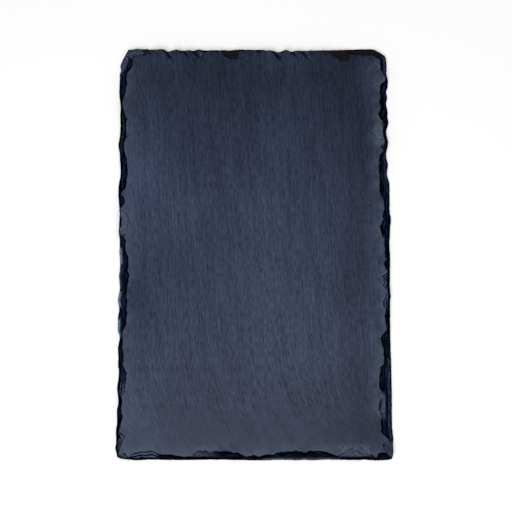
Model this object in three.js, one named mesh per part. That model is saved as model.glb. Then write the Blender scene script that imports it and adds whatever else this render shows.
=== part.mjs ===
// A slate serving plate: one slab of split slate, dressed by hand from the back.
// Each blow of the dressing tool sprang a flake off the face, so the edges are terraced scoops
// that run from a nearly straight lower arris in to a ragged rim on the face.
import * as THREE from "three";

// Driving dimensions in millimetres: +X right, +Y to the far end, +Z up, origin under the middle
const LENGTH = 300;
const WIDTH = 198.5;
const THICKNESS = 6;
const ARRIS_HEIGHT = 0.9; // the sharp lower arris above the base
const BACK_SPALL = 0.9; // how far the underside's edge is broken back
const REACH = 20; // breadth of the border that the dressing can affect
const BORDER = 16.4; // every scar and bruise ends inside this distance from the edge

// The edge as a mesh
const STATION_STEP = 2.4; // spacing of the stations round the edge
const LEDGES = [0.26, 0.5, 0.74]; // where leaves of slate part, as shares of the edge's height
const LEDGE_DRIFT = 0.05; // how far a ledge wanders up and down, as a share of the edge's height
const LEDGE_FALL = 0.06; // fall of a ledge from its inner to its outer side
const LEAST_STEP = 0.12; // every ring lies at least this far outside the ring above it
const ROUGHNESS = 0.3; // unevenness of a broken wall
const FEATHER = [0.8, 2.4]; // least and greatest breadth of the bruised border inside the rim
const FEATHER_DROP = [0.08, 0.3]; // least and greatest drop of the rim below the face

// The face: broad, low swells left by the splitting
const FACE_CELLS = [14, 21];
const SWELL = 0.12;
const SWELL_LENGTHS = [150, 210];

const COLOUR = 0x3a4156;
const SLATE_ROUGHNESS = 0.62;

const HALF_W = WIDTH / 2;
const HALF_L = LENGTH / 2;

// Turning points of the lower arris on each side: place along the side, then how far in it lies.
// Places run from the far end on the left and right, and from the left end on the near and far sides.
const ARRIS = {
  near: [
    [4.6, 1.4], [9, 0.7], [17, 0], [23, 0.6], [47, 0.3], [71, 0.6], [105, 0.1], [119, 0.5], [131, 0.1],
    [134, 0.5], [140, 0.1], [149, 0.6], [173, 0.3], [177, 0.5], [186, 0], [193, 0.3], [196.2, 1],
  ],
  right: [
    [5.6, 2.8], [9, 1.9], [15, 1.6], [20, 1.8], [24, 0.7], [29, 1], [33, 2.3], [37, 1.5], [42, 2.4],
    [48, 1.3], [51, 1.5], [56, 0.8], [63, 2.7], [71, 1.3], [80, 3], [87, 1.7], [94, 2.5], [102, 0.7],
    [122, 0.9], [127, 0], [135, 0.8], [147, 1.4], [154, 1], [174, 1.4], [180, 1.4], [183, 0.9], [187, 1.5],
    [210, 1.7], [240, 1.3], [255, 1.2], [275, 1.4], [285, 0.6], [290, 0.9], [294, 0.6], [298.2, 1.4],
  ],
  far: [
    [6, 0.8], [9.5, 0.2], [12, 0.6], [14, 0], [16, 0.4], [22, 0.1], [28, 1.2], [32, 0.6], [36, 2.1],
    [41, 0.7], [46, 1.8], [51, 1.3], [54, 1.7], [58, 0.9], [64, 1.3], [71, 1], [80, 1.5], [92, 0.7],
    [96, 0.5], [100, 1.1], [104, 0.8], [109, 1.9], [112, 1.4], [116, 2.9], [123, 1.3], [126, 2.5],
    [132, 1.8], [136, 1.9], [139, 1.3], [143, 1.6], [152, 1], [160, 1.3], [176, 0.4], [185, 0.2], [188, 0.6],
  ],
  left: [
    [6.5, 2.3], [10, 1], [15, 0.6], [20, 0], [25, 0.2], [32, 0], [45, 1.3], [51, 1.1], [58, 1.3],
    [64, 1.2], [72, 0], [81, 1.2], [93, 2], [105, 0.4], [126, 1.6], [135, 1.2], [145, 2.1], [151, 1.9],
    [161, 2.6], [169, 1.9], [177, 2.6], [187, 1.3], [192, 2.4], [200, 1.5], [207, 1.5], [213, 3],
    [221, 1.8], [228, 2.2], [231, 2], [239, 2.7], [249, 1.7], [259, 2.7], [265, 1.7], [273, 2],
    [279, 1.3], [287, 1.6], [291, 1], [297.6, 2.4],
  ],
};

// Forms of a flake scar. hollow is how steeply it rises to the rim, and plump how full its plan is.
const FORMS = {
  scoop: { hollow: 2.2, plump: 2.5 },
  band: { hollow: 2, plump: 4 },
  ledge: { hollow: 4, plump: 2 },
  slope: { hollow: 1.3, plump: 3 },
  split: { hollow: 2, plump: 1.1 },
};

// Flake scars by side: the places where the rim starts, lies furthest in and ends, then how far in it lies.
// floor is the share of the edge's height that the scar leaves standing under it.
const SCARS = {
  near: [
    { form: "slope", from: -6, peak: 5, to: 11, deep: 5, floor: 0.5 },
    { form: "band", from: 7, peak: 25.5, to: 34, deep: 6.2, floor: 0.5 },
    { form: "split", from: 12, peak: 27, to: 38, deep: 4.4, floor: 0.1 },
    { form: "band", from: 29, peak: 37, to: 53, deep: 4.1, floor: 0 },
    { form: "scoop", from: 44, peak: 55, to: 66, deep: 2.7, floor: 0 },
    { form: "slope", from: 54, peak: 63, to: 72, deep: 7, floor: 0.8 },
    { form: "scoop", from: 58, peak: 77, to: 98, deep: 6.4, floor: 0.1 },
    { form: "scoop", from: 78, peak: 87, to: 97, deep: 4.2, floor: 0 },
    { form: "scoop", from: 93, peak: 97.5, to: 105, deep: 3.6, floor: 0 },
    { form: "scoop", from: 102, peak: 109, to: 116, deep: 4.5, floor: 0.1 },
    { form: "band", from: 110, peak: 125, to: 141, deep: 6.3, floor: 0.15 },
    { form: "scoop", from: 131, peak: 141, to: 162, deep: 6.8, floor: 0.1 },
    { form: "scoop", from: 157, peak: 162, to: 167, deep: 5, floor: 0.1 },
    { form: "band", from: 160, peak: 172, to: 183, deep: 2.7, floor: 0 },
    { form: "slope", from: 158, peak: 171, to: 182, deep: 9, floor: 0.86 },
    { form: "scoop", from: 177, peak: 182, to: 188, deep: 4.1, floor: 0 },
    { form: "scoop", from: 186, peak: 192, to: 206, deep: 5.6, floor: 0 },
  ],
  right: [
    { form: "band", from: -15, peak: 6, to: 25, deep: 6.8, floor: 0.1 },
    { form: "band", from: 24, peak: 34, to: 50, deep: 7, floor: 0 },
    { form: "scoop", from: 40, peak: 51.5, to: 57, deep: 8.1, floor: 0 },
    { form: "scoop", from: 52, peak: 59, to: 65, deep: 5.8, floor: 0 },
    { form: "slope", from: 56, peak: 65, to: 75, deep: 10.5, floor: 0.85 },
    { form: "scoop", from: 72.5, peak: 75, to: 78, deep: 7.2, floor: 0.5 },
    { form: "band", from: 76, peak: 89, to: 104, deep: 8.5, floor: 0.05 },
    { form: "scoop", from: 93, peak: 102, to: 120, deep: 8.5, floor: 0 },
    { form: "scoop", from: 108, peak: 119, to: 125, deep: 5.2, floor: 0 },
    { form: "scoop", from: 119, peak: 126, to: 131, deep: 6.4, floor: 0 },
    { form: "scoop", from: 127.5, peak: 134, to: 146, deep: 8.3, floor: 0.15 },
    { form: "slope", from: 140, peak: 144.5, to: 149, deep: 8, floor: 0.75 },
    { form: "band", from: 141, peak: 150, to: 159, deep: 5.1, floor: 0 },
    { form: "scoop", from: 154, peak: 161, to: 167, deep: 6, floor: 0 },
    { form: "split", from: 164, peak: 169.7, to: 176, deep: 7.8, floor: 0.4 },
    { form: "band", from: 166, peak: 174, to: 180, deep: 4.2, floor: 0 },
    { form: "slope", from: 171, peak: 175.5, to: 180, deep: 7.6, floor: 0.8 },
    { form: "split", from: 177, peak: 189, to: 197, deep: 7.6, floor: 0.4 },
    { form: "band", from: 190, peak: 200, to: 210, deep: 5.3, floor: 0 },
    { form: "scoop", from: 206.5, peak: 215, to: 224, deep: 8.8, floor: 0.05 },
    { form: "scoop", from: 214, peak: 223, to: 233, deep: 6.9, floor: 0 },
    { form: "band", from: 229.5, peak: 238, to: 250, deep: 9.3, floor: 0.1 },
    { form: "scoop", from: 236, peak: 246, to: 257, deep: 10.2, floor: 0.1 },
    { form: "scoop", from: 250, peak: 261, to: 270, deep: 6.2, floor: 0 },
    { form: "slope", from: 252, peak: 262, to: 271, deep: 12, floor: 0.88 },
    { form: "band", from: 264, peak: 275, to: 288, deep: 9.2, floor: 0.1 },
    { form: "slope", from: 285, peak: 294, to: 310, deep: 8, floor: 0.45 },
  ],
  far: [
    { form: "slope", from: -8, peak: 9, to: 27, deep: 6.6, floor: 0.45 },
    { form: "scoop", from: 17, peak: 22, to: 26, deep: 5, floor: 0.3 },
    { form: "split", from: 32.5, peak: 38, to: 40.5, deep: 8, floor: 0.3 },
    { form: "split", from: 43.5, peak: 48, to: 50, deep: 6.2, floor: 0.5 },
    { form: "split", from: 51.5, peak: 58.5, to: 61, deep: 10, floor: 0.55 },
    { form: "split", from: 57, peak: 62, to: 64, deep: 7, floor: 0.7 },
    { form: "band", from: 57, peak: 68, to: 79, deep: 3.1, floor: 0 },
    { form: "band", from: 75, peak: 83, to: 88.5, deep: 9.2, floor: 0.5 },
    { form: "band", from: 88, peak: 96, to: 108, deep: 3, floor: 0.1 },
    { form: "scoop", from: 101, peak: 104, to: 107, deep: 4.8, floor: 0.5 },
    { form: "split", from: 111.5, peak: 118.5, to: 121, deep: 7.6, floor: 0.3 },
    { form: "split", from: 124, peak: 128, to: 130, deep: 6, floor: 0.5 },
    { form: "split", from: 131.5, peak: 138, to: 140.5, deep: 10, floor: 0.55 },
    { form: "split", from: 137, peak: 142, to: 144, deep: 7, floor: 0.7 },
    { form: "band", from: 137, peak: 150, to: 160, deep: 3.1, floor: 0 },
    { form: "band", from: 155, peak: 163.5, to: 169, deep: 10.4, floor: 0.5 },
    { form: "band", from: 163, peak: 180, to: 196, deep: 6.2, floor: 0.15 },
    { form: "split", from: 172, peak: 178, to: 181, deep: 8, floor: 0.6 },
  ],
  left: [
    { form: "ledge", from: -14, peak: 4, to: 30, deep: 10, floor: 0.25 },
    { form: "scoop", from: 18, peak: 26, to: 44.5, deep: 5.6, floor: 0 },
    { form: "slope", from: 43, peak: 60, to: 80, deep: 6.3, floor: 0 },
    { form: "scoop", from: 66, peak: 98, to: 112, deep: 7.1, floor: 0 },
    { form: "scoop", from: 108, peak: 115.5, to: 121, deep: 5.7, floor: 0 },
    { form: "slope", from: 119, peak: 130, to: 143, deep: 9, floor: 0.7 },
    { form: "scoop", from: 138.5, peak: 144, to: 149, deep: 6.9, floor: 0 },
    { form: "band", from: 143, peak: 168, to: 182, deep: 8.7, floor: 0.12 },
    { form: "band", from: 174, peak: 194, to: 214, deep: 8.3, floor: 0.15 },
    { form: "scoop", from: 215, peak: 227, to: 235, deep: 6.3, floor: 0 },
    { form: "scoop", from: 229, peak: 240, to: 257, deep: 8.4, floor: 0 },
    { form: "split", from: 245.5, peak: 250.5, to: 259, deep: 9.7, floor: 0.72 },
    { form: "scoop", from: 258.5, peak: 271, to: 278, deep: 5.9, floor: 0 },
    { form: "split", from: 276.5, peak: 283.5, to: 306, deep: 8.6, floor: 0.5 },
    { form: "band", from: 277, peak: 290, to: 301, deep: 4.6, floor: 0 },
  ],
};

const lerp = THREE.MathUtils.lerp;
const clamp = THREE.MathUtils.clamp;

// A repeatable number from 0 to 1 for a whole number and a seed
function chance(index, seed) {
  const x = Math.sin(index * 12.9898 + seed * 78.233) * 43758.5453;
  return x - Math.floor(x);
}

function smooth(f) {
  return f * f * (3 - 2 * f);
}

// A smooth curve from 0 to 1 through such numbers
function drift(t, seed) {
  const index = Math.floor(t);
  return lerp(chance(index, seed), chance(index + 1, seed), smooth(t - index));
}

// The split face's height at a point
function faceHeight(x, y) {
  const across = Math.sin((2 * Math.PI * (x + 0.3 * y)) / SWELL_LENGTHS[0] + 1);
  const along = Math.sin((2 * Math.PI * (y - 0.2 * x)) / SWELL_LENGTHS[1] + 0.4);
  return THICKNESS - (SWELL * (2 - across - along)) / 2;
}

// How far in the arris lies at a place along a side
function arrisInset(side, place) {
  const turns = ARRIS[side];
  const next = Math.max(1, turns.findIndex(([at]) => at >= place));
  const [[from, a], [to, b]] = [turns[next - 1], turns[next]];
  return lerp(a, b, smooth((place - from) / (to - from)));
}

function pointOnSide(side, place, inset) {
  if (side === "near") return [place - HALF_W, inset - HALF_L];
  if (side === "far") return [place - HALF_W, HALF_L - inset];
  const x = HALF_W - inset;
  return [side === "left" ? -x : x, HALF_L - place];
}

// How far in one scar reaches at a place and a share of the edge's height
function scarInset(scar, place, level) {
  const { hollow, plump } = FORMS[scar.form];
  const rise = clamp((level - scar.floor) / (1 - scar.floor), 0, 1);
  const share = 1 - (1 - rise) ** hollow;
  const half = place < scar.peak ? scar.peak - scar.from : scar.to - scar.peak;
  const x = Math.abs(place - scar.peak) / (half * (0.7 + 0.3 * share));
  return scar.deep * share * Math.max(0, 1 - x ** plump);
}

// How far in the deepest scar reaches. A ledge's inner ring lies nearly under the wall above it.
function edgeInset(side, place, level, levelAbove) {
  const insets = SCARS[side].map((scar, index) => {
    const step = lerp(0.2, 0.9, chance(index, 7 + levelAbove));
    return scarInset(scar, place, lerp(level, levelAbove, step));
  });
  return Math.max(...insets);
}

// The stretches of the arris, anticlockwise from the near left: each side, then the corner to the next side
function makeStretches() {
  const ends = Object.entries(ARRIS).map(([side, turns]) => {
    const places = turns.map(([at]) => at);
    const forward = side === "near" || side === "left";
    return { side, places: forward ? [places.at(0), places.at(-1)] : [places.at(-1), places.at(0)] };
  });
  return ends.flatMap(({ side, places: [from, to] }, i) => {
    const next = ends[(i + 1) % ends.length];
    const [start, end] = [{ side, place: from }, { side, place: to }];
    return [[start, end], [end, { side: next.side, place: next.places[0] }]];
  });
}

// Stations round the arris, each with its way in to the undressed middle of the plate
function makeStations() {
  const stations = [];
  let run = 0;
  for (const [start, end] of makeStretches()) {
    const corner = start.side !== end.side;
    const insetAt = ({ side, place }) => arrisInset(side, place);
    const pointAt = (at) => pointOnSide(at.side, at.place, insetAt(at));
    const [a, b] = [pointAt(start), pointAt(end)];
    const length = Math.hypot(b[0] - a[0], b[1] - a[1]);
    const steps = Math.max(1, Math.round(length / STATION_STEP));
    for (let k = 0; k < steps; k++) {
      const u = k / steps;
      const here = { side: start.side, place: lerp(start.place, end.place, u) };
      const sides = corner ? [start, end] : [here, here];
      const [x, y] = corner ? [lerp(a[0], b[0], u), lerp(a[1], b[1], u)] : pointAt(here);
      stations.push({
        x,
        y,
        sides,
        mix: corner ? u : 0,
        inset: lerp(insetAt(sides[0]), insetAt(sides[1]), corner ? u : 0),
        run: run + u * length,
        inX: clamp(x, REACH - HALF_W, HALF_W - REACH),
        inY: clamp(y, REACH - HALF_L, HALF_L - REACH),
      });
    }
    run += length;
  }
  return stations;
}

// One station's points, from the undressed face over the rim and down the ledges to the base
function makeColumn(station) {
  const { inset, run, sides, mix } = station;
  const at = (depth, z) => {
    const share = (depth - inset) / (REACH - inset);
    const x = lerp(station.x, station.inX, share);
    const y = lerp(station.y, station.inY, share);
    return new THREE.Vector3(x, y, z ?? faceHeight(x, y));
  };
  const scarred = (level, above, ring) => {
    const [a, b] = sides.map(({ side, place }) => edgeInset(side, place, level, above));
    return lerp(a, b, mix) + ROUGHNESS * drift(run / STATION_STEP, ring);
  };
  const heightOf = (level) => lerp(ARRIS_HEIGHT, THICKNESS - SWELL, level);
  const base = at(inset + BACK_SPALL * (0.5 + drift(run / 9, 33)), 0);
  const column = [at(inset, ARRIS_HEIGHT), base];
  let depth = inset;
  const addRing = (wanted, z) => {
    depth = Math.max(depth + LEAST_STEP, wanted);
    column.unshift(at(depth, z));
  };
  LEDGES.forEach((ledge, k) => {
    const level = ledge + LEDGE_DRIFT * (2 * drift(run / 25, 40 + k) - 1);
    addRing(scarred(level, level, 2 * k), heightOf(level) - LEDGE_FALL);
    addRing(scarred(level, LEDGES[k + 1] ?? 1, 2 * k + 1), heightOf(level));
  });
  addRing(scarred(1, 1, 20));
  column[0].z -= lerp(...FEATHER_DROP, drift(run / 11, 31));
  addRing(depth + lerp(...FEATHER, drift(run / 14, 32)));
  addRing(BORDER);
  return column;
}

// Grows one closed surface from loops and strips of points
class Surface {
  points = [];
  triangles = [];

  addPoints(points) {
    const first = this.points.length;
    this.points.push(...points);
    return points.map((_, i) => first + i);
  }

  addTriangle(a, b, c) {
    this.triangles.push(a, b, c);
  }

  // A band between two closed rings of as many points, inner ring first, split along the shorter diagonals
  addBand(inner, outer) {
    inner.forEach((a, i) => {
      const j = (i + 1) % inner.length;
      const [b, c, d] = [outer[i], outer[j], inner[j]];
      const gap = (p, q) => this.points[p].distanceTo(this.points[q]);
      if (gap(a, c) < gap(b, d)) {
        this.addTriangle(a, b, c);
        this.addTriangle(a, c, d);
      } else {
        this.addTriangle(a, b, d);
        this.addTriangle(b, c, d);
      }
    });
  }

  // A band between two closed rings of different counts, matched by each point's place round the plate
  addUnevenBand(inner, innerPlaces, outer, outerPlaces) {
    let i = 0;
    let o = 0;
    while (i < inner.length || o < outer.length) {
      const a = inner[i % inner.length];
      const b = outer[o % outer.length];
      const nextInner = i < inner.length ? innerPlaces[i + 1] ?? 1 : Infinity;
      const nextOuter = o < outer.length ? outerPlaces[o + 1] ?? 1 : Infinity;
      if (nextOuter <= nextInner) {
        this.addTriangle(a, b, outer[++o % outer.length]);
      } else {
        this.addTriangle(a, b, inner[++i % inner.length]);
      }
    }
  }

  toGeometry() {
    const geometry = new THREE.BufferGeometry().setFromPoints(this.points);
    geometry.setIndex(this.triangles);
    geometry.computeVertexNormals();
    return geometry;
  }
}

// Place of a point of the inner rectangle's border, from 0 to 1, anticlockwise from its near left corner
function placeOnBorder(x, y) {
  const w = WIDTH - 2 * REACH;
  const l = LENGTH - 2 * REACH;
  const [u, v] = [x + w / 2, y + l / 2];
  const tiny = 1e-6;
  let run = w + l + w + (l - v);
  if (v < tiny) run = u;
  else if (u > w - tiny) run = w + v;
  else if (v > l - tiny) run = w + l + (w - u);
  return run / (2 * (w + l));
}

// The undressed middle of the face, as a grid. Returns its border, anticlockwise from the near left corner.
function addFaceGrid(surface) {
  const [nx, ny] = FACE_CELLS;
  const points = [];
  for (let iy = 0; iy <= ny; iy++) {
    for (let ix = 0; ix <= nx; ix++) {
      const x = lerp(REACH - HALF_W, HALF_W - REACH, ix / nx);
      const y = lerp(REACH - HALF_L, HALF_L - REACH, iy / ny);
      points.push(new THREE.Vector3(x, y, faceHeight(x, y)));
    }
  }
  const ids = surface.addPoints(points);
  const id = (ix, iy) => ids[iy * (nx + 1) + ix];
  for (let iy = 0; iy < ny; iy++) {
    for (let ix = 0; ix < nx; ix++) {
      surface.addTriangle(id(ix, iy), id(ix + 1, iy), id(ix + 1, iy + 1));
      surface.addTriangle(id(ix, iy), id(ix + 1, iy + 1), id(ix, iy + 1));
    }
  }
  const border = [];
  for (let ix = 0; ix < nx; ix++) border.push(id(ix, 0));
  for (let iy = 0; iy < ny; iy++) border.push(id(nx, iy));
  for (let ix = nx; ix > 0; ix--) border.push(id(ix, ny));
  for (let iy = ny; iy > 0; iy--) border.push(id(0, iy));
  return border;
}

// Brings the drawn outline to the exact length, width and thickness, standing on the base
function fitToSize(geometry) {
  geometry.center();
  const size = geometry.boundingBox.getSize(new THREE.Vector3());
  geometry.scale(WIDTH / size.x, LENGTH / size.y, THICKNESS / size.z);
  geometry.translate(0, 0, THICKNESS / 2);
  return geometry;
}

function makePlateGeometry() {
  const surface = new Surface();
  const stations = makeStations();
  const columns = stations.map(makeColumn);
  const rings = columns[0].map((_, ring) => surface.addPoints(columns.map((column) => column[ring])));
  rings.slice(1).forEach((ring, i) => surface.addBand(rings[i], ring));

  const border = addFaceGrid(surface);
  const borderPlaces = border.map((id) => placeOnBorder(surface.points[id].x, surface.points[id].y));
  const stationPlaces = stations.map(({ inX, inY }) => placeOnBorder(inX, inY));
  surface.addUnevenBand(border, borderPlaces, rings[0], stationPlaces);

  const base = rings[rings.length - 1];
  const outline = base.map((id) => new THREE.Vector2(surface.points[id].x, surface.points[id].y));
  for (const [a, b, c] of THREE.ShapeUtils.triangulateShape(outline, [])) {
    surface.addTriangle(base[a], base[c], base[b]);
  }
  return fitToSize(surface.toGeometry());
}

const plate = new THREE.Mesh(
  makePlateGeometry(),
  new THREE.MeshStandardMaterial({
    color: COLOUR,
    roughness: SLATE_ROUGHNESS,
    metalness: 0,
    flatShading: true,
  }),
);
plate.name = "slate_plate";

const group = new THREE.Group();
group.add(plate);

export default group;
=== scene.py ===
"""A slate serving plate on a pale floor: one split slab with a cleft face and hand-flaked edges.

The solid gives the outline and the flake scars. The shown plate follows it on fine sections across the
edge, parts the broken walls into thin leaves of slate, and adds the grain of the cleft face.
"""
import math
from collections import namedtuple

import bpy
import numpy as np
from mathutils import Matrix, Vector
from mathutils.bvhtree import BVHTree


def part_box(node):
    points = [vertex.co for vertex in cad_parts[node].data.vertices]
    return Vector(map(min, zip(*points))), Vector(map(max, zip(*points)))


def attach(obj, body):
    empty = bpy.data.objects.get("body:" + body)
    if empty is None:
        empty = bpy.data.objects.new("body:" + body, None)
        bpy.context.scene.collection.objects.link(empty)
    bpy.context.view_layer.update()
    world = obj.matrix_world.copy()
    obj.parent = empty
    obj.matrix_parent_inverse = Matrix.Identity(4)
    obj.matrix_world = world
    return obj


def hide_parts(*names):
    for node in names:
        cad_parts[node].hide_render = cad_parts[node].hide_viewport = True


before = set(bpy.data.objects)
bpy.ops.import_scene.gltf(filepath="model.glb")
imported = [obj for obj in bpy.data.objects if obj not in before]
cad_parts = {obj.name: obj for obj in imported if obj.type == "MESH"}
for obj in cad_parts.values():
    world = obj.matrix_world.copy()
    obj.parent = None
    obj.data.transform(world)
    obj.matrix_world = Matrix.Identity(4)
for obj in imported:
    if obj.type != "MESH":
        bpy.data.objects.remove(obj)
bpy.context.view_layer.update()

NODE = "slate_plate"
MM = 0.001

# The edge, in millimetres
REACH = 20.0  # breadth of the border that the flaking can affect
BORDER_END = 0.86  # share of that border where the fine sections end
SECTION_STEP = 0.75  # spacing of the sections round the edge
SECTION_SAMPLES = 170  # heights read along each section
SECTION_POINTS = 38  # points kept along each section, most of them on the walls
FACE_WEIGHT = 0.22  # how closely those points lie on the face, on broken slate and on steps
BROKEN_WEIGHT = 0.8
STEP_WEIGHT = 2.2
ARRIS_HEIGHT = 0.9
ARRIS_WEAR = 0.35  # greatest chipping of the lower arris
ARRIS_WEAR_LENGTH = 2.2

# The marks that each point of the plate carries, and their values on the unbroken face
MARKS = (
    "inset", "leaf", "broken", "dark", "pale", "gritty", "black",
    "split", "fold", "bruise", "crease", "rim", "rust",
)
UNBROKEN = (REACH, *(0 for mark in MARKS[1:]))

# Least breadth of the broken edge, by place along it from its far or left end
BEVEL = {
    "left": [
        (36, 3.0), (42, 2.0), (48, 3.4), (115, 3.4), (121, 1.2), (139, 1.5), (146, 5.0), (160, 7.2),
        (200, 7.2), (206, 3.6), (212, 2.4), (218, 3.6), (240, 3.6), (250, 2.4), (260, 3.4), (278, 3.4),
        (284, 2.4),
    ],
    "right": [
        (8, 2.3), (14, 1.5), (26, 3.4), (90, 3.2), (100, 3.6), (150, 3.4), (164, 2.2), (196, 2.2),
        (201, 3.2), (220, 3.2), (225, 7.2), (236, 7.2), (242, 3.2), (280, 3.2), (288, 1.5),
    ],
    "near": [
        (0, 1.6), (33, 1.8), (40, 3.0), (75, 2.0), (95, 2.4),
        (100, 3.0), (158, 3.0), (163, 1.6), (182, 1.8), (190, 3.2),
    ],
    "far": [(0, 0.0)],
}
BEVEL_DROP = 4.2
BEVEL_FOOT = 0.3  # share of its breadth that lies at its full drop
BEVEL_UNEVEN = 0.2
BEVEL_UNEVEN_LENGTH = 9

# Stretches where the arris is bumpy and the slope above it gritty
BUMPY = {"left": [(-9, 22)], "far": [(-9, 62), (100, 148)]}
BUMPY_SOFT = 3  # how softly those stretches begin and end
BUMP = 0.7
BUMP_LENGTH = 4.5

# Broken slate, in millimetres
RAGGED = 0.6  # sideways wander of the rim and ledges
RAGGED_LENGTH = 3.0  # length of that wander
CHIP = 0.6  # the rim is set back in small chips, by up to this
CHIP_LENGTH = 2.6
LEAVES = ((1.15, 0.85), (0.38, 0.5))  # thickness of the leaves the walls part into, and how fully they part
LEAF_SHIFT = 0.7  # how raggedly the leaves end, as a share of their thickness
LEAF_SHIFT_LENGTH = 9
CRUMBLE = 0.1  # roughness of the broken surfaces
LEDGE_CRUMBLE = 0.2  # more of it on the pale ledges
CRUMBLE_LENGTH = 1.3
WALL_SLOPES = (0.7, 1.5)  # fall for each millimetre across, from a ledge to a wall
WALL_SAMPLES = 9  # samples over which that slope is taken
RISER_SLOPES = (0.35, 1.1)  # the same for the small risers between leaves
# How dark the risers between leaves are painted, as shade
RISER_SHADE = 0.6
RIM_DROP = 0.25  # the unbroken face begins where it has dropped by less than this
RIM_BREADTH = 5.0  # how far the rim is bruised pale
RIM_SHARE = {"left": 0.5, "right": 0.75, "near": 0.8, "far": 0.0}

# Stretches of each edge, from its far or left end. Broken slate is painted dark as shade, but for these
# ledges, each with
# where it begins and ends in from the arris, the breadth of the shaded wall left under the rim, and how
# pale it is:
# half is as pale as the face, more is painted light
PALE_LEDGES = {
    "left": [
        (-9, 20, 0, 9, 4.2, 0.6),
        (44, 53, 0.9, 4, 1.2, 0.42),
        (53, 78, 0.9, 4, 1.2, 0.2),
        (121, 139, 1, 9, 0.4, 0.5),
        (148, 160, 0, 1.9, 1, 1.0),
        (162, 178, 0, 1.3, 1, 0.5),
        (180, 191, 0, 1.9, 1, 1.0),
        (200, 213, 0, 1.9, 1, 1.0),
        (246, 258, 2.2, 9, 0.4, 0.5),
        (277, 298, 2.2, 9, 0.4, 0.5),
        (298, 309, 1, 9, 0.4, 0.55),
    ],
    "right": [
        (-9, 24, 0.6, 3, 1, 0.5),
        (76, 108, 0.6, 2.4, 1, 0.3),
        (164, 176, 2.2, 9, 0.4, 0.5),
        (177, 196, 2.2, 9, 0.4, 0.5),
        (228, 286, 0.7, 2.8, 1, 0.32),
        (287, 309, 0.8, 9, 0.4, 0.5),
    ],
    "near": [
        (-9, 10, 0.9, 9, 0.4, 0.55),
        (10, 31, 1.8, 9, 0.4, 0.5),
        (80, 95, 0.5, 1.4, 1, 0.45),
        (104, 160, 0, 1.3, 1, 0.6),
    ],
    "far": [(-9, 62, 0.4, 12, 0.4, 0.6), (105, 147, 0.4, 12, 0.4, 0.6)],
}
# Stretches where the leaves have split apart, with a line of painted shade in each opening and a painted
# glint beside it
SPLITS = {
    "left": [(244, 260), (275, 302)],
    "right": [(162, 198)],
    "near": [(-9, 33)],
}
SPLIT_PITCH = 2.2  # from one of those lines to the next
SPLIT_UNEVEN = 0.3

# The scars of the far edge slant to the right by this for their depth, about this depth
FAR_SLANT = 0.5
FAR_SLANT_MIDDLE = 4
FAR_CORNERS = 25  # length over which the slant begins at either end
# Dark grooves in the far edge, by where they open at the arris. They slant to the right and narrow inwards
GROOVES = [(30.5, 35), (45, 48), (51.5, 56), (110.5, 115), (124.5, 127.5), (131.5, 135.5)]
GROOVE_LEAN = 0.8
GROOVE_TAPER = 0.22
GROOVE_LENGTH = 7.0
GROOVE_DEPTH = 0.7
RUSTY = {"far": [(17, 25), (75, 88), (154, 193)]}  # stretches with brownish breaks

# Stretches with a black line along the arris, and its breadth
BLACK_ARRIS = {
    "left": [(24, 148, 1.4), (212, 270, 1.4), (270, 309, 2.5)],
    "right": [(-9, 150, 1.0), (150, 214, 2.1), (214, 309, 1.0)],
    "near": [(-9, 6, 1.2), (6, 33, 2.0), (33, 104, 1.5), (158, 210, 1.5)],
    "far": [(57, 79, 1.0), (139, 210, 1.0)],
}
UNDER_RIM_SHADOW = 1.5  # breadth of the painted shadow under the rim

# Bruised stretches of the rim: start, end, where they begin and end in from the arris, how their creases
# run, and how pale the bruise is
BRUISES = {
    "left": [(119, 141, 1, 12, "slant", 0.5)],
    "right": [
        (57, 74, 3, 13, "slant", 1.0),
        (140, 149, 4, 9, "slant", 0.9),
        (171, 180, 3.5, 8, "slant", 0.7),
        (252, 271, 5, 11, "fan", 0.9),
    ],
    "near": [(53, 72, 2.4, 9, "arc", 0.6), (158, 183, 2.4, 14, "arc", 0.8)],
}
CREASE_PITCH = 3.2
CREASE_DEPTH = 0.14
UNEVEN_CREASES = {"slant": 2.6, "arc": 1.6, "fan": 1.5}
FAN_SPREAD = 6.5
FAN_ROOT = 2  # the creases of a fan meet this far in from the arris
SLANT_CLOSENESS = 0.7
SLANT = 0.9

# The cleft face, in millimetres
FACE_CELL = (0.65, 3.0)  # across and along the grain
FACE_SINK = 0.06  # the face lies this far under the solid's, so that the grain stays inside it
FIBRE_RELIEF = 0.028
FIBRE_SIZE = (1.9, 24.0)  # breadth and length of the fibres
RIPPLE_RELIEF = 0.03
RIPPLE_SIZE = (9.0, 50.0)
GRAIN_LEAN = 0.07  # sideways run of the grain for its length
GRAIN_BEND_START = -100.0  # the grain swings aside towards the near end from here
GRAIN_BEND = 0.48
GRAIN_BEND_SOFT = 9.0
CALM_LENGTH = 45  # the fibres fade over this length past the start of the bend
CALM_SHARE = 0.6

# The underside, in millimetres
UNDER_CELL = (4.0, 5.0)
UNDER_HOLLOW = 0.3
HOLLOW_SIZE = (34, 60)  # across and along the grain
# Rings of the lower edge: distance in from the arris, height, unevenness, and whether it is broken slate
UNDER_RINGS = ((0.25, 0.5, 0.25, True), (0.9, 0.0, 0.55, True), (6.0, 0.0, 0.25, False))
UNDER_ROUGH_LENGTH = 3.5
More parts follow.
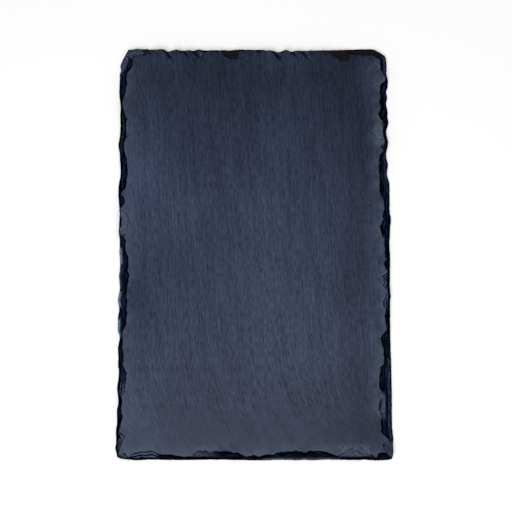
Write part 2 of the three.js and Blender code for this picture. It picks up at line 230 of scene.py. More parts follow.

# Slow change of the face, partly its own tone and partly painted shading and sheen, darker towards the far
# end: along its length, then blotches by middle, spread and amount
SHADE_AND_TONE_ALONG = [
    (-150, 1.06), (-100, 0.98), (-60, 1.0), (-20, 0.92),
    (30, 0.86), (70, 0.68), (110, 0.52), (150, 0.4),
]
SHADE_AND_TONE_BLOTCHES = [
    ((-84, 30), (26, 50), 0.25),
    ((-86, -118), (26, 40), 0.25),
    ((74, 0), (16, 130), -0.2),
    ((10, 0), (14, 90), 0.12),
    ((22, -70), (34, 40), 0.12),
    ((-84, -28), (18, 34), -0.3),
    ((-66, 0), (30, 20), -0.08),
    ((-72, 141), (34, 9), 0.14),
    ((22, 141), (26, 9), 0.16),
    ((-80, 93), (20, 40), 0.14),
    ((82, -132), (28, 36), -0.24),
    ((22, 100), (14, 30), 0.08),
    ((86, 132), (10, 16), 0.3),
    ((30, -137), (50, 8), -0.07),
    ((92, -90), (8, 30), -0.1),
]
# The same for how blue the face is, from 0 to 1
COOL_ALONG = [(-150, 0.0), (-100, 0.12), (-40, 0.3), (30, 0.4), (100, 0.62), (150, 0.4)]
COOL_BLOTCHES = [((-86, -26), (16, 30), 0.4), ((-80, 40), (20, 30), 0.15), ((92, -60), (10, 80), 0.15)]
# The grain is weaker near the near end
CALM_ALONG = [(-150, 0.35), (-134, 0.38), (-110, 1.0)]

# Slate: colours as reflected light, in red, green and blue
FACE_GREY = (0.0415, 0.0489, 0.0787, 1)
FACE_BLUE = (0.0380, 0.0512, 0.1010, 1)
# The broken walls are painted this dark as shade, a little lighter and bluer on the left
WALL_SHADE_COLOUR = (0.0045, 0.008, 0.0205, 1)
WALL_SHADE_BLUE = (0.0048, 0.0112, 0.030, 1)  # on the left
# Black of the painted shadow under the rim and of the painted shade on the risers, in the split openings
# and in the creases; the line along the arris is black too
BLACK_COLOUR = (0.0001, 0.0003, 0.0018, 1)
# Painted light on the ledges that face up, also used for the painted glints
LIT_LEDGE_COLOUR = (0.10, 0.14, 0.23, 1)
BRUISE_COLOUR = (0.088, 0.11, 0.15, 1)
RUST_COLOUR = (0.0105, 0.009, 0.0095, 1)
SPECULAR = 0.01
ROUGHNESS = (0.72, 0.52)  # from the hollows of the fibres to their crests
NOISE_ROUGHNESS = 0.6

# Fine patterns of the face: breadth, length and detail along the grain, or size and detail
FIBRES = (1.25, 5.5, 3)
HAIRS = (1.3, 40, 1)
STREAKS = (9, 50, 2)
PITS = (1.2, 3.5, 1)
MOTTLE = (30, 2)
GRIT = (1.1, 3)
# How far each of them swings the tone
FIBRE_SWING = 0.33
HAIR_SWING = 0.15
STREAK_SWING = 0.12
MOTTLE_SWING = 0.05
GRIT_SWING = 0.14
# How dark the pits are painted, as shade in them
PIT_SHADE = 0.5
# Relief too fine for the mesh
FIBRE_BUMP = 0.7
GRIT_BUMP = 0.5
BUMP_STRENGTH = 0.6
BUMP_HEIGHT = 0.25 * MM

# Fine patterns of the broken edge
SPECKLE = 0.65  # swing of the tone from grain to grain
BRUISE_PATCHES = (9, 3)
RIM_BRUISE = 0.75
BRUISE_SHARE = 0.7
WALL_STREAKS = (7, 0.6, 3)  # length along the edge, breadth across it, detail
WALL_SWING = 1.9
LEAF_OFFSET = 3.7  # sets the streaks of one leaf apart from those of the next
RUST_SHARE = 0.85
GLINT_SHARE = 0.4
# How dark the creases are painted, as shade
CREASE_SHADE = 0.85
CREASE_GAPS = (4, 2)

SHARP_ANGLE = math.radians(50)

# Floor and light, in metres and watts
FLOOR_HALF = 4.0
FLOOR_WHITE = (0.94, 0.94, 0.94, 1)
FLOOR_ROUGHNESS = 0.9
SKY_STRENGTH = 0.48
LAMPS = (  # name, place, size and power
    ("key", (-0.35, -0.55, 1.1), 0.9, 9.6),
    ("fill", (0.5, 0.3, 1.2), 1.0, 4.4),
)

# Camera: nearly overhead, leaning towards the near end
CAMERA_DISTANCE = 0.8964
CAMERA_TILT = math.radians(7.5)
CAMERA_TARGET = Vector((0.00137, -0.004, 0.0))
SENSOR = 36.0
FRAME_PIXELS = 512
FOCAL_PIXELS = 1240

plate_low, plate_high = (np.array(corner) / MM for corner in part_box(NODE))
half = (plate_high - plate_low)[:2] / 2
top = plate_high[2]
inner_half = half - REACH

# Samples along all sections: which edge, how far along it, how far in from the arris, and where
Samples = namedtuple("Samples", "side place inset x y")


def smooth(edge_0, edge_1, x):
    t = np.clip((x - edge_0) / (edge_1 - edge_0), 0, 1)
    return t * t * (3 - 2 * t)


def chance(i, j, seed):
    """A repeatable number from 0 to 1 for each pair of whole numbers."""
    x = np.sin(i * 12.9898 + j * 78.233 + seed * 37.719) * 43758.5453
    return x - np.floor(x)


def noise(x, y, seed):
    """Smooth noise from -1 to 1 with features one unit across."""
    i, j = np.floor(x), np.floor(y)
    u, v = smooth(0, 1, x - i), smooth(0, 1, y - j)
    low = chance(i, j, seed) * (1 - u) + chance(i + 1, j, seed) * u
    high = chance(i, j + 1, seed) * (1 - u) + chance(i + 1, j + 1, seed) * u
    return 2 * (low * (1 - v) + high * v) - 1


def fractal(x, y, seed, octaves=3):
    """Noise with finer and weaker layers added to it."""
    layers = (noise(x * 2**k, y * 2**k, seed + k) / 2**k for k in range(octaves))
    return sum(layers) / (2 - 2 ** (1 - octaves))


def unit_rows(rows):
    return rows / np.linalg.norm(rows, axis=1)[:, None]


def solid_tree():
    """The frame's solid, in millimetres, ready for rays."""
    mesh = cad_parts[NODE].data
    points = [vertex.co / MM for vertex in mesh.vertices]
    return BVHTree.FromPolygons(points, [polygon.vertices for polygon in mesh.polygons])


def rectangle_walk(size, step):
    """Points round a rectangle of the given half size, anticlockwise from the near left corner."""
    corners = np.array([(-1, -1), (1, -1), (1, 1), (-1, 1)]) * size
    sides = []
    for start, end in zip(corners, np.roll(corners, -1, axis=0)):
        count = round(np.linalg.norm(end - start) / step)
        share = np.arange(count)[:, None] / count
        sides.append(start + share * (end - start))
    return np.concatenate(sides)


def find_outline(tree):
    """The arris at every section, and where each section ends on the undressed middle of the face."""
    starts = rectangle_walk(half + 2, SECTION_STEP)
    ends = np.clip(starts, -inner_half, inner_half)
    outline = []
    for start, end in zip(starts, ends):
        origin = Vector((*start, ARRIS_HEIGHT))
        hit = tree.ray_cast(origin, Vector((*end, ARRIS_HEIGHT)) - origin)[0]
        outline.append(hit[:2])
    return np.array(outline), ends


def grain_place(x, y):
    """Distance across and along the grain, which leans a little and swings aside near the near end."""
    below = GRAIN_BEND_START - y
    bend = GRAIN_BEND * GRAIN_BEND_SOFT * np.logaddexp(0, below / GRAIN_BEND_SOFT)
    return x + GRAIN_LEAN * y - bend, y


def face_relief(x, y):
    """The height of the grain of the cleft face."""
    across, along = grain_place(x, y)
    calm = 1 - CALM_SHARE * smooth(GRAIN_BEND_START, GRAIN_BEND_START - CALM_LENGTH, y)
    fibre = fractal(across / FIBRE_SIZE[0], along / FIBRE_SIZE[1], 3, 2)
    ripple = fractal(across / RIPPLE_SIZE[0], along / RIPPLE_SIZE[1], 9, 3)
    return calm * FIBRE_RELIEF * fibre + RIPPLE_RELIEF * ripple


def solid_heights(tree, x, y):
    """The solid's upper surface, or the arris where there is none above it."""
    down = Vector((0, 0, -1))
    heights = np.full(x.shape, ARRIS_HEIGHT)
    for index in np.ndindex(x.shape):
        hit = tree.ray_cast(Vector((x[index], y[index], top + 1)), down)[0]
        if hit is not None:
            heights[index] = max(hit.z, ARRIS_HEIGHT)
    return heights


def part_leaves(drop, x, y):
    """Steps a smooth drop below the face into leaves with ragged ends, and counts the thick ones."""
    shift = LEAF_SHIFT * fractal(x / LEAF_SHIFT_LENGTH, y / LEAF_SHIFT_LENGTH, 21, 2)
    phases = []
    for thickness, share in LEAVES:
        phase = drop / thickness + shift
        leaf = np.floor(phase)
        stepped = thickness * (leaf + smooth(0.4, 0.6, phase - leaf) - shift)
        drop = drop + share * smooth(0.08, 0.35, drop) * (stepped - drop)
        phases.append(phase)
    return drop, phases[0]


def running_mean(rows, count):
    window = np.ones(count) / count
    return np.apply_along_axis(lambda row: np.convolve(row, window, "same"), 1, rows)


def fall(drop, inset):
    """How steeply each section falls, for each millimetre across."""
    return np.abs(np.gradient(drop, axis=1)) / inset[:, 1:2]


def wall_share(drop, inset):
    """Where the broken edge falls steeply, before it is parted into leaves."""
    return smooth(*WALL_SLOPES, running_mean(fall(drop, inset), WALL_SAMPLES))


def within(place, start, end, soft=1.5):
    return smooth(start - soft, start + soft, place) * (1 - smooth(end - soft, end + soft, place))


def stretch_share(side, place, stretches, soft=1.5):
    """How far each section lies within the stretches given for its edge."""
    named_spans = ((name, span) for name, spans in stretches.items() for span in spans)
    return sum((side == name) * within(place, *span, soft) for name, span in named_spans)


def edge_places(outline):
    """Which edge each section is on, and how far from that edge's far or left end it lies."""
    x, y = outline.T
    across = (half[0] - np.abs(x)) < (half[1] - np.abs(y))
    side = np.where(across, np.where(x < 0, "left", "right"), np.where(y < 0, "near", "far"))
    return side[:, None], np.where(across, half[1] - y, x + half[0])[:, None]


def least_bevel(at):
    """The drop of the narrow bevel that joins one flake scar to the next."""
    breadth = 0
    for name, stations in BEVEL.items():
        breadth = breadth + (at.side == name) * np.interp(at.place, *zip(*stations))
    uneven = fractal(at.place / BEVEL_UNEVEN_LENGTH, at.place * 0, 97, 2)
    breadth = breadth * (1 + BEVEL_UNEVEN * uneven) + 1e-6
    return BEVEL_DROP * smooth(breadth, BEVEL_FOOT * breadth, at.inset)


def rim_inset(drop, inset):
    """How far in from the arris the unbroken face begins, for each section."""
    return np.max(np.where(drop > RIM_DROP, inset, 0), axis=1, keepdims=True)


def ledge_share(at, drop):
    """How pale the ledges are: 0 on walls painted dark as shade, a half where as pale as the face, more
    where painted light.
    """
    edge = rim_inset(drop, at.inset)
    pale = np.zeros(at.inset.shape)
    for name, ledges in PALE_LEDGES.items():
        for start, end, first, last, wall, amount in ledges:
            reach = np.minimum(last, edge - wall)
            share = amount * (at.side == name) * within(at.place, start, end)
            share = share * smooth(first - 0.3, first + 0.3, at.inset)
            share = share * smooth(reach + 0.4, reach - 0.4, at.inset)
            pale = np.maximum(pale, share)
    return pale


def groove_share(at):
    """Where the slanting grooves of the far edge lie."""
    opening = at.place - GROOVE_LEAN * at.inset
    narrowing = GROOVE_TAPER * at.inset
    share = sum(within(opening, start + narrowing, end - narrowing, 0.8) for start, end in GROOVES)
    return (at.side == "far") * share * smooth(GROOVE_LENGTH + 2, GROOVE_LENGTH - 2, at.inset)


def crease_phase(form, along, inset):
    """A number that rises by the crease pitch from one crease to the next."""
    if form == "arc":
        return np.hypot(along, inset)
    if form == "fan":
        return FAN_SPREAD * np.arctan2(along, inset - FAN_ROOT)
    return SLANT_CLOSENESS * (along + SLANT * inset)


def bruise_creases(at):
    """The bruised stretches, and a phase that gives the fine creases in them."""
    bruise, crease = np.zeros(at.inset.shape), np.zeros(at.inset.shape)
    uneven = fractal(at.place / 4, at.inset / 4, 33, 2)
    for name, stretches in BRUISES.items():
        for start, end, first, last, form, amount in stretches:
            share = amount * (at.side == name) * within(at.place, start, end, 3)
            share = share * smooth(first - 0.6, first + 0.6, at.inset) * smooth(last, 0.5 * last, at.inset)
            phase = crease_phase(form, at.place - (start + end) / 2, at.inset)
            phase = phase + uneven * UNEVEN_CREASES[form]
            crease = np.where(share > bruise, phase / CREASE_PITCH, crease)
            bruise = np.maximum(bruise, share)
    return bruise, crease


def arris_line(at):
    """The black line along parts of the arris."""
    line = np.zeros(at.inset.shape)
    uneven = 1 + 0.6 * noise(at.place / 4, at.place * 0, 91)
    for name, spans in BLACK_ARRIS.items():
        for start, end, size in spans:
            share = (at.side == name) * within(at.place, start, end)
            breadth = size * uneven
            line = np.maximum(line, share * smooth(breadth + 0.3, breadth - 0.3, at.inset))
    return line


def rim_shadow_line(at, edge):
    """The painted shadow under the rim."""
    breadth = UNDER_RIM_SHADOW * (1 + 0.7 * noise(at.place / 5, at.place * 0, 93))
    return smooth(breadth + 0.4, breadth - 0.4, edge - at.inset)


def black_share(at, drop, broken, dark, ledge, bruise):
    """The painted shadow under the rim, the black line along the arris and the painted shade on the risers
    between the leaves.
    """
    shadow_under_rim = (at.side != "far") * dark * rim_shadow_line(at, rim_inset(drop, at.inset))
    riser_shade = broken * smooth(*RISER_SLOPES, fall(drop, at.inset))
    riser_shade = RISER_SHADE * riser_shade * (1 - 0.7 * ledge) * (1 - np.clip(2 * bruise, 0, 1))
    return np.maximum.reduce([shadow_under_rim, arris_line(at), riser_shade])


def mark_breakage(at, drop, leaf, ledge, bruise, crease):
    """The marks of each sample, in the order of MARKS."""
    broken = smooth(0.12, 0.4, drop)
    edge = rim_inset(drop, at.inset)
    # The broken walls are painted dark as shade, except on the ledges and the bruises
    dark = broken * (1 - np.clip(2 * ledge, 0, 1)) * (1 - bruise)
    rim_share = sum((at.side == name) * share for name, share in RIM_SHARE.items())
    uneven_fold = SPLIT_UNEVEN * fractal(at.place / 6, at.inset / 4, 95, 2)
    marks = {
        "inset": at.inset,
        "leaf": leaf,
        "broken": broken,
        "dark": dark,
        # The ledges that face up are painted light
        "pale": broken * np.clip(2 * ledge - 1, 0, 1),
        "gritty": stretch_share(at.side, at.place, BUMPY, BUMPY_SOFT) * broken * np.clip(2 * ledge, 0, 1),
        "black": black_share(at, drop, broken, dark, ledge, bruise),
        "split": stretch_share(at.side, at.place, SPLITS) * broken * np.clip(4 * ledge, 0, 1),
        "fold": (edge - at.inset) / SPLIT_PITCH + 0.3 + uneven_fold,
        "bruise": bruise,
        "crease": crease,
        "rim": rim_share * (1 - broken) * np.exp(-np.maximum(at.inset - edge, 0) / RIM_BREADTH),
        "rust": broken * stretch_share(at.side, at.place, RUSTY),
    }
    return [marks[name] for name in MARKS]


def chip_rim(outline, inset):
    """Small chips that set the rim back from one short stretch to the next."""
    run = np.arange(len(outline)) * SECTION_STEP / CHIP_LENGTH
    run = run + 0.8 * noise(run / 2.5, run * 0, 83)
    cell = np.floor(run)
    here, after = chance(cell, 0, 81), chance(cell + 1, 0, 81)
    back = here + (after - here) * smooth(0.75, 1, run - cell)
    return CHIP * (back[:, None] - 0.5) * smooth(0, 1.5, inset)


def wear_outline(outline, ends):
    """The outline with a worn and partly bumpy arris."""
    side, place = edge_places(outline)
    x, y = outline.T / ARRIS_WEAR_LENGTH
    wear = ARRIS_WEAR * np.abs(fractal(x, y, 5))
    bumps = smooth(-0.2, 0.5, fractal(place / BUMP_LENGTH, place * 0, 7, 2))
    wear = wear + (BUMP * bumps * stretch_share(side, place, BUMPY, BUMPY_SOFT))[:, 0]
    return outline + wear[:, None] * unit_rows(ends - outline)


def sample_sections(outline, ends):
    """Samples along each section, from the arris inwards."""
    share = np.linspace(0, BORDER_END, SECTION_SAMPLES)
    points = outline[:, None] + share[None, :, None] * (ends - outline)[:, None]
    inset = np.linalg.norm(points - outline[:, None], axis=2)
    return Samples(*edge_places(outline), inset, points[..., 0], points[..., 1])


def far_slant(at, outline):
    """How far the scars of the far edge lean to the right, about the middle of their depth."""
    on_far = (at.side == "far") * smooth(half[0], half[0] - FAR_CORNERS, np.abs(outline[:, :1]))
    slant = FAR_SLANT * on_far * (at.inset - FAR_SLANT_MIDDLE)
    return slant * smooth(0, 2, at.inset) * smooth(BORDER_END * REACH, 10, at.inset)


def read_solid(tree, at, outline, inward):
    """The solid's height for each sample, read a little aside so that its scars are ragged."""
    away = RAGGED * smooth(0, 1.2, at.inset)
    wander = [away * fractal(at.x / RAGGED_LENGTH, at.y / RAGGED_LENGTH, seed, 3) for seed in (11, 15)]
    wander = np.stack(wander, axis=2) + chip_rim(outline, at.inset)[..., None] * inward[:, None]
    return solid_heights(tree, at.x + wander[..., 0] - far_slant(at, outline), at.y + wander[..., 1])


def break_edge(at, scar):
    """The drop below the face, how far it is broken slate, and the marks of each sample."""
    drop = np.maximum(scar, least_bevel(at))
    groove = groove_share(at)
    steep = wall_share(drop, at.inset)
    ledge = ledge_share(at, drop) * (1 - 0.5 * steep) * (1 - 0.8 * groove)
    bruise, crease = bruise_creases(at)
    drop, leaf = part_leaves(drop, at.x, at.y)
    drop = np.maximum(drop, GROOVE_DEPTH * groove)
    drop = drop + CREASE_DEPTH * bruise * smooth(0.5, 0.95, np.cos(2 * np.pi * crease))
    broken = smooth(0.3, 0.7, drop)
    crumble = CRUMBLE + ledge * LEDGE_CRUMBLE
    drop = drop + crumble * broken * fractal(at.x / CRUMBLE_LENGTH, at.y / CRUMBLE_LENGTH, 27)
    return drop, broken, mark_breakage(at, drop, leaf, ledge, bruise, crease)


def keep_points(columns, height, inset, broken):
    """Fewer points along each section, from the face to the arris, close together on the walls."""
    step = np.abs(np.diff(height, axis=1))
    stride = np.diff(inset, axis=1)
    weight = stride * (FACE_WEIGHT + BROKEN_WEIGHT * broken[:, 1:]) + STEP_WEIGHT * step
    weight = sum(np.roll(weight, k, axis=0) for k in (-2, -1, 0, 1, 2))
    runs = np.concatenate([np.zeros((len(weight), 1)), np.cumsum(weight, axis=1)], axis=1)
    wanted = np.linspace(1, 0, SECTION_POINTS)
    kept = np.empty((len(runs), SECTION_POINTS, len(columns)))
    for i, run in enumerate(runs):
        for k, column in enumerate(columns):
            kept[i, :, k] = np.interp(wanted * run[-1], run, column[i])
    return kept


def make_sections(tree):
    """Rows down each section from the face to the arris: x, y, z, then the marks."""
    bare_outline, ends = find_outline(tree)
    outline = wear_outline(bare_outline, ends)
    at = sample_sections(outline, ends)
    solid = read_solid(tree, at, outline, unit_rows(ends - bare_outline))
    level = solid[:, -1:]
    drop, broken, marks = break_edge(at, level - solid)
    height = level - FACE_SINK - np.maximum(drop, 0) + (1 - broken) * face_relief(at.x, at.y)
    height = np.minimum(np.maximum(height, ARRIS_HEIGHT), top)
    height[:, 0] = ARRIS_HEIGHT
    return keep_points((at.x, at.y, height, *marks), height, at.inset, broken)


class Skin:
    """Grows one closed mesh from rings and grids of points."""

    def __init__(self):
        self.points = []
        self.marks = []
        self.faces = []

    def add_points(self, points, marks=None):
        first = sum(len(block) for block in self.points)
        self.points.append(points)
        self.marks.append(np.tile(UNBROKEN, (len(points), 1)) if marks is None else marks)
        return first + np.arange(len(points))

    def add_band(self, inner, outer):
        """Quads between two closed rings of as many points."""
        after = np.roll(np.arange(len(inner)), -1)
        quads = np.stack([inner, outer, outer[after], inner[after]], axis=1)
        self.faces.extend(quads.tolist())

    def add_uneven_band(self, inner, inner_places, outer, outer_places):
        """Triangles between two closed rings of different counts, matched by place round the plate."""
        inner_stops = np.append(inner_places, 1)
        outer_stops = np.append(outer_places, 1)
        i = o = 0
        while i < len(inner) or o < len(outer):
            next_inner = inner_stops[i + 1] if i < len(inner) else 2
            next_outer = outer_stops[o + 1] if o < len(outer) else 2
            a, b = inner[i % len(inner)], outer[o % len(outer)]
            if next_outer <= next_inner:
                o += 1
                self.faces.append([int(a), int(b), int(outer[o % len(outer)])])
            else:
                i += 1
                self.faces.append([int(a), int(b), int(inner[i % len(inner)])])

    def add_grid(self, cell, height_at):
        """A grid over the plate's middle. Returns its border ring, anticlockwise from the near left."""
        nx, ny = (round(2 * size / pitch) for size, pitch in zip(inner_half, cell))
        columns = np.linspace(-1, 1, nx + 1) * inner_half[0]
        rows = np.linspace(-1, 1, ny + 1) * inner_half[1]
        x, y = np.meshgrid(columns, rows)
        points = np.stack([x, y, height_at(x, y)], axis=2).reshape(-1, 3)
        ids = self.add_points(points).reshape(ny + 1, nx + 1)
        quads = np.stack([ids[:-1, :-1], ids[:-1, 1:], ids[1:, 1:], ids[1:, :-1]], axis=2)
        self.faces.extend(quads.reshape(-1, 4).tolist())
        return np.concatenate([ids[0, :-1], ids[:-1, -1], ids[-1, :0:-1], ids[:0:-1, 0]])

    def all_points(self):
        return np.concatenate(self.points)

    def flip_since(self, count):
        self.faces[count:] = [face[::-1] for face in self.faces[count:]]


def border_places(points):
    """Place of points on or near the middle rectangle's border, from 0 to 1 round it."""
    width, length = 2 * inner_half
    x = np.clip(points[:, 0] + inner_half[0], 0, width)
    y = np.clip(points[:, 1] + inner_half[1], 0, length)
    tiny = 1e-4
    run = np.select(
        [y < tiny, x > width - tiny, y > length - tiny],
        [x, width + y, width + length + (width - x)],
        2 * width + length + (length - y),
    )
    return run / (2 * (width + length))


def build_plate_skin(tree):
    skin = Skin()
    sections = make_sections(tree)
    rings = [skin.add_points(ring[:, :3], ring[:, 3:]) for ring in sections.swapaxes(0, 1)]
    for inner, outer in zip(rings, rings[1:]):
        skin.add_band(inner, outer)

    def face_height(x, y):
        return solid_heights(tree, x, y) - FACE_SINK + face_relief(x, y)

    border = skin.add_grid(FACE_CELL, face_height)
    ring_places = border_places(sections[:, 0, :2])
    border_points = skin.all_points()[border]
    skin.add_uneven_band(border, border_places(border_points), rings[0], ring_places)
    add_underside(skin, sections[:, -1], rings[-1])
    return skin


def under_height(x, y):
    """The split underside: shallow hollows between the patches that it rests on."""
    across, along = grain_place(x, y)
    hollow = fractal(across / HOLLOW_SIZE[0], along / HOLLOW_SIZE[1], 51, 4)
    return UNDER_HOLLOW * smooth(0.05, 0.45, hollow)


def add_underside(skin, arris, arris_ring):
    """The broken lower edge, ring by ring, and the underside within it."""
    outline = arris[:, :2]
    inward = unit_rows(np.clip(outline, -inner_half, inner_half) - outline)
    rough = fractal(outline[:, 0] / UNDER_ROUGH_LENGTH, outline[:, 1] / UNDER_ROUGH_LENGTH, 61)
    ring = arris_ring
    for inset, z, spread, is_broken in UNDER_RINGS:
        points = outline + inward * (inset * (1 + spread * rough))[:, None]
        marks = arris[:, 3:] if is_broken else None
        next_ring = skin.add_points(np.column_stack([points, np.full(len(points), z)]), marks)
        skin.add_band(ring, next_ring)
        ring = next_ring
    first = len(skin.faces)
    border = skin.add_grid(UNDER_CELL, under_height)
    skin.add_uneven_band(border, border_places(skin.all_points()[border]), ring, border_places(points))
    skin.flip_since(first)


def slow_change(x, y, along, blotches=()):
    """A slow change over the face: stations along its length, and blotches added to them."""
    value = np.interp(y, *zip(*along))
    for middle, spread, amount in blotches:
        value += amount * np.exp(-(((x - middle[0]) / spread[0]) ** 2) - ((y - middle[1]) / spread[1]) ** 2)
    return value


def add_values(mesh, skin, x, y):
    """The marks of the breakage and the slow changes of the face, as values at the points."""
    values_by_name = dict(zip(MARKS, np.concatenate(skin.marks).T))
    # Painted shading and sheen over the face, with some of the slate's own tone
    values_by_name["tone"] = slow_change(x, y, SHADE_AND_TONE_ALONG, SHADE_AND_TONE_BLOTCHES)
    values_by_name["cool"] = slow_change(x, y, COOL_ALONG, COOL_BLOTCHES)
    values_by_name["calm"] = slow_change(x, y, CALM_ALONG)
    values_by_name["leftward"] = smooth(0, -half[0], x)
    for name, values in values_by_name.items():
        attribute = mesh.attributes.new(name, "FLOAT", "POINT")
        attribute.data.foreach_set("value", values.astype(np.float32))


def add_grain_map(mesh, x, y):
    grain = np.stack(grain_place(x, y), axis=1) * MM
    corners = np.empty(len(mesh.loops), dtype=np.int32)
    mesh.loops.foreach_get("vertex_index", corners)
    layer = mesh.uv_layers.new(name="grain")
    layer.uv.foreach_set("vector", grain[corners].astype(np.float32).ravel())


def make_plate_mesh(skin):
    points = skin.all_points()
    x, y = points.T[:2]
    mesh = bpy.data.meshes.new("slate_plate_skin")
    mesh.from_pydata((points * MM).tolist(), [], skin.faces)
    add_values(mesh, skin, x, y)
    add_grain_map(mesh, x, y)
    mesh.shade_smooth()
    mesh.set_sharp_from_angle(angle=SHARP_ANGLE)
    return mesh


def make_camera():
    lens = bpy.data.cameras.new("camera")
    lens.sensor_width = SENSOR
    lens.lens = FOCAL_PIXELS / FRAME_PIXELS * SENSOR
    camera = bpy.data.objects.new("camera", lens)
    away = Vector((0, -math.sin(CAMERA_TILT), math.cos(CAMERA_TILT)))
    camera.location = CAMERA_TARGET + CAMERA_DISTANCE * away
    camera.rotation_euler = away.to_track_quat("Z", "Y").to_euler()
    bpy.context.collection.objects.link(camera)
    bpy.context.scene.camera = camera


def make_floor():
    mesh = bpy.data.meshes.new("floor")
    corners = [(x * FLOOR_HALF, y * FLOOR_HALF, 0) for x, y in ((-1, -1), (1, -1), (1, 1), (-1, 1))]
    mesh.from_pydata(corners, [], [(0, 1, 2, 3)])
    floor = bpy.data.objects.new("floor", mesh)
    bpy.context.collection.objects.link(floor)
    material = bpy.data.materials.new("floor_white")
    material.use_nodes = True
    shader = material.node_tree.nodes["Principled BSDF"]
    shader.inputs["Base Color"].default_value = FLOOR_WHITE
    shader.inputs["Roughness"].default_value = FLOOR_ROUGHNESS
    mesh.materials.append(material)


def make_sky():
    world = bpy.data.worlds.new("studio")
    world.use_nodes = True
    background = world.node_tree.nodes["Background"]
    background.inputs["Strength"].default_value = SKY_STRENGTH
    background.inputs["Color"].default_value = (1, 1, 1, 1)
    bpy.context.scene.world = world


def make_lamps():
    for name, location, size, power in LAMPS:
        light = bpy.data.lights.new(name, "AREA")
        light.size = size
        light.energy = power
        lamp = bpy.data.objects.new(name, light)
        lamp.location = location
        lamp.rotation_euler = lamp.location.to_track_quat("Z", "Y").to_euler()
        bpy.context.collection.objects.link(lamp)


class Nodes:
    """Adds nodes to a material. An input is given a number, a colour, or the socket that feeds it."""

    def __init__(self, tree):
        self.tree = tree

    def feed(self, socket, value):
        if isinstance(value, bpy.types.NodeSocket):
            self.tree.links.new(value, socket)
        else:
            socket.default_value = value

    def add(self, kind, inputs, **settings):
        node = self.tree.nodes.new(kind)
        for name, value in settings.items():
            setattr(node, name, value)
        for key, value in inputs.items():
            self.feed(node.inputs[key], value)
        return node

    def math(self, operation, *values):
        return self.add("ShaderNodeMath", dict(enumerate(values)), operation=operation).outputs[0]

    def mark(self, name):
        return self.add("ShaderNodeAttribute", {}, attribute_name=name).outputs["Fac"]

    def grain(self, breadth, length, detail):
        """Noise drawn out along the grain, about 0.5."""
        place = self.add("ShaderNodeUVMap", {}, uv_map="grain").outputs["UV"]
        scale = (1 / (breadth * MM), 1 / (length * MM), 1)
        spread = self.add("ShaderNodeMapping", {"Vector": place, "Scale": scale}).outputs["Vector"]
        inputs = {"Vector": spread, "Scale": 1, "Detail": detail, "Roughness": NOISE_ROUGHNESS}
        return self.add("ShaderNodeTexNoise", inputs, noise_dimensions="2D").outputs["Fac"]

    def grit(self, size, detail):
        """Even noise in all directions, about 0.5."""
        place = self.add("ShaderNodeTexCoord", {}).outputs["Object"]
        inputs = {"Vector": place, "Scale": 1 / (size * MM), "Detail": detail, "Roughness": NOISE_ROUGHNESS}
        return self.add("ShaderNodeTexNoise", inputs).outputs["Fac"]

    def streaks(self, length, breadth, detail):
        """Noise drawn out along the edge and parted where the leaves end, about 0.5."""
        place = self.add("ShaderNodeTexCoord", {}).outputs["Object"]
        flat = self.add("ShaderNodeSeparateXYZ", {"Vector": place}).outputs
        along = {axis: self.math("MULTIPLY", flat[axis], 1 / (length * MM)) for axis in ("X", "Y")}
        inward = self.math("MULTIPLY", self.mark("inset"), 1 / breadth)
        spread = self.add("ShaderNodeCombineXYZ", {**along, "Z": inward}).outputs["Vector"]
        leaf = self.math("MULTIPLY", self.math("ROUND", self.mark("leaf")), LEAF_OFFSET)
        inputs = {"Vector": spread, "W": leaf, "Scale": 1, "Detail": detail, "Roughness": NOISE_ROUGHNESS}
        return self.add("ShaderNodeTexNoise", inputs, noise_dimensions="4D").outputs["Fac"]

    def remap(self, value, low, high, to_low, to_high):
        inputs = {"Value": value, "From Min": low, "From Max": high, "To Min": to_low, "To Max": to_high}
        return self.add("ShaderNodeMapRange", inputs).outputs["Result"]

    def mix(self, share, first, second):
        inputs = {"Factor": share, "A": first, "B": second}
        node = self.add("ShaderNodeMix", {}, data_type="RGBA")
        for socket in node.inputs:
            if socket.enabled and socket.name in inputs:
                self.feed(socket, inputs[socket.name])
        return next(socket for socket in node.outputs if socket.enabled)

    def scale(self, colour, factor):
        inputs = {0: colour, "Scale": factor}
        return self.add("ShaderNodeVectorMath", inputs, operation="SCALE").outputs["Vector"]


def face_colour(nodes, fibre, grit):
    """The cleft face: its slow changes, partly painted shading and sheen, with the grain and its pits
    painted dark as shade.
    """
    mottle = nodes.grit(*MOTTLE)
    swings = (
        (fibre, FIBRE_SWING),
        (nodes.grain(*HAIRS), HAIR_SWING),
        (nodes.grain(*STREAKS), STREAK_SWING),
        (mottle, MOTTLE_SWING),
        (grit, GRIT_SWING),
    )
    grain = 0.0
    for source, swing in swings:
        grain = nodes.math("ADD", grain, nodes.remap(source, 0.25, 0.75, -swing, swing))
    grain = nodes.math("MULTIPLY_ADD", grain, nodes.mark("calm"), 1)
    # The pits are painted dark as shade; they have no relief
    pits = nodes.remap(nodes.grain(*PITS), 0.33, 0.22, 0, PIT_SHADE)
    pits = nodes.math("MULTIPLY", pits, nodes.remap(mottle, 0.5, 0.6, 0.2, 1))
    grain = nodes.math("MULTIPLY", grain, nodes.math("SUBTRACT", 1, pits))
    hue = nodes.mix(nodes.mark("cool"), FACE_GREY, FACE_BLUE)
    # The slow tone carries painted shading and sheen
    return nodes.scale(hue, nodes.math("MULTIPLY", nodes.mark("tone"), grain))


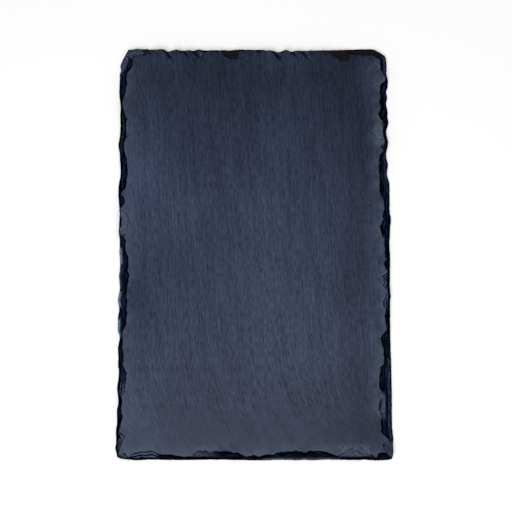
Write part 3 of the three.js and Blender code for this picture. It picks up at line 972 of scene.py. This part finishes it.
def bruised_colour(nodes, colour, grit):
    """Adds the bruised rim and the speckled ledges, painted pale as lit."""
    patches = nodes.remap(nodes.grit(*BRUISE_PATCHES), 0.38, 0.6, 0, RIM_BRUISE)
    rim = nodes.math("MULTIPLY", nodes.mark("rim"), patches)
    bruise = nodes.math("MAXIMUM", rim, nodes.math("MULTIPLY", nodes.mark("bruise"), BRUISE_SHARE))
    colour = nodes.mix(bruise, colour, BRUISE_COLOUR)
    # Painted light on the ledges
    colour = nodes.mix(nodes.mark("pale"), colour, LIT_LEDGE_COLOUR)
    rough = nodes.math("SUBTRACT", nodes.mark("broken"), nodes.mark("bruise"))
    rough = nodes.math("ADD", rough, nodes.mark("gritty"))
    speckle = nodes.remap(grit, 0.3, 0.7, -SPECKLE, SPECKLE)
    speckle = nodes.math("MULTIPLY_ADD", speckle, rough, 1)
    return nodes.scale(colour, nodes.math("MAXIMUM", speckle, 0.1))


def wall_shade_and_rust(nodes, colour):
    """Adds the walls, painted dark and streaked as shade, and the brownish breaks."""
    streaks = nodes.remap(nodes.streaks(*WALL_STREAKS), 0.36, 0.72, 0, WALL_SWING)
    wall = nodes.mix(nodes.mark("leftward"), WALL_SHADE_COLOUR, WALL_SHADE_BLUE)
    wall = nodes.scale(wall, nodes.math("MULTIPLY", streaks, streaks))
    colour = nodes.mix(nodes.mark("dark"), colour, wall)
    return nodes.mix(nodes.math("MULTIPLY", nodes.mark("rust"), RUST_SHARE), colour, RUST_COLOUR)


def crease_lines(nodes):
    """Painted shade in the creases of the bruises, in broken lines."""
    wave = nodes.math("COSINE", nodes.math("MULTIPLY", nodes.mark("crease"), 2 * math.pi))
    crease = nodes.remap(wave, 0.5, 0.98, 0, CREASE_SHADE)
    crease = nodes.math("MULTIPLY", crease, nodes.remap(nodes.grit(*CREASE_GAPS), 0.42, 0.58, 0, 1))
    return nodes.math("MULTIPLY", crease, nodes.mark("bruise"))


def lined_colour(nodes, colour):
    """Adds the black lines, with the painted shade in the split openings, and the painted glints beside the
    split leaves.
    """
    fold = nodes.math("SUBTRACT", nodes.math("FRACT", nodes.mark("fold")), 0.5)
    fold = nodes.math("ABSOLUTE", fold)
    glint = nodes.math("MULTIPLY", nodes.remap(fold, 0.34, 0.44, 0, GLINT_SHARE), nodes.mark("split"))
    colour = nodes.mix(glint, colour, LIT_LEDGE_COLOUR)
    # Painted shade in each opening between the split leaves
    opening = nodes.remap(fold, 0.26, 0.14, 0, 1)
    lines = nodes.math("MULTIPLY", opening, nodes.mark("split"))
    lines = nodes.math("MAXIMUM", lines, crease_lines(nodes))
    lines = nodes.math("MAXIMUM", lines, nodes.mark("black"))
    return nodes.mix(lines, colour, BLACK_COLOUR)


def fine_relief(nodes, fibre, grit):
    fibre_height = nodes.math("MULTIPLY", fibre, FIBRE_BUMP)
    height = nodes.math("ADD", fibre_height, nodes.math("MULTIPLY", grit, GRIT_BUMP))
    inputs = {"Height": height, "Strength": BUMP_STRENGTH, "Distance": BUMP_HEIGHT}
    return nodes.add("ShaderNodeBump", inputs).outputs["Normal"]


def make_slate():
    material = bpy.data.materials.new("cleft_slate")
    material.use_nodes = True
    nodes = Nodes(material.node_tree)
    fibre = nodes.grain(*FIBRES)
    grit = nodes.grit(*GRIT)
    colour = face_colour(nodes, fibre, grit)
    colour = bruised_colour(nodes, colour, grit)
    colour = wall_shade_and_rust(nodes, colour)
    colour = lined_colour(nodes, colour)
    shader = material.node_tree.nodes["Principled BSDF"]
    nodes.feed(shader.inputs["Base Color"], colour)
    nodes.feed(shader.inputs["Roughness"], nodes.remap(fibre, 0.3, 0.7, *ROUGHNESS))
    nodes.feed(shader.inputs["Specular IOR Level"], SPECULAR)
    nodes.feed(shader.inputs["Normal"], fine_relief(nodes, fibre, grit))
    return material


plate = bpy.data.objects.new("slate_plate_cleft", make_plate_mesh(build_plate_skin(solid_tree())))
plate.data.materials.append(make_slate())
bpy.context.collection.objects.link(plate)
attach(plate, "root")
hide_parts(NODE)

make_floor()
make_sky()
make_lamps()
make_camera()
bpy.context.scene.view_settings.view_transform = "Standard"
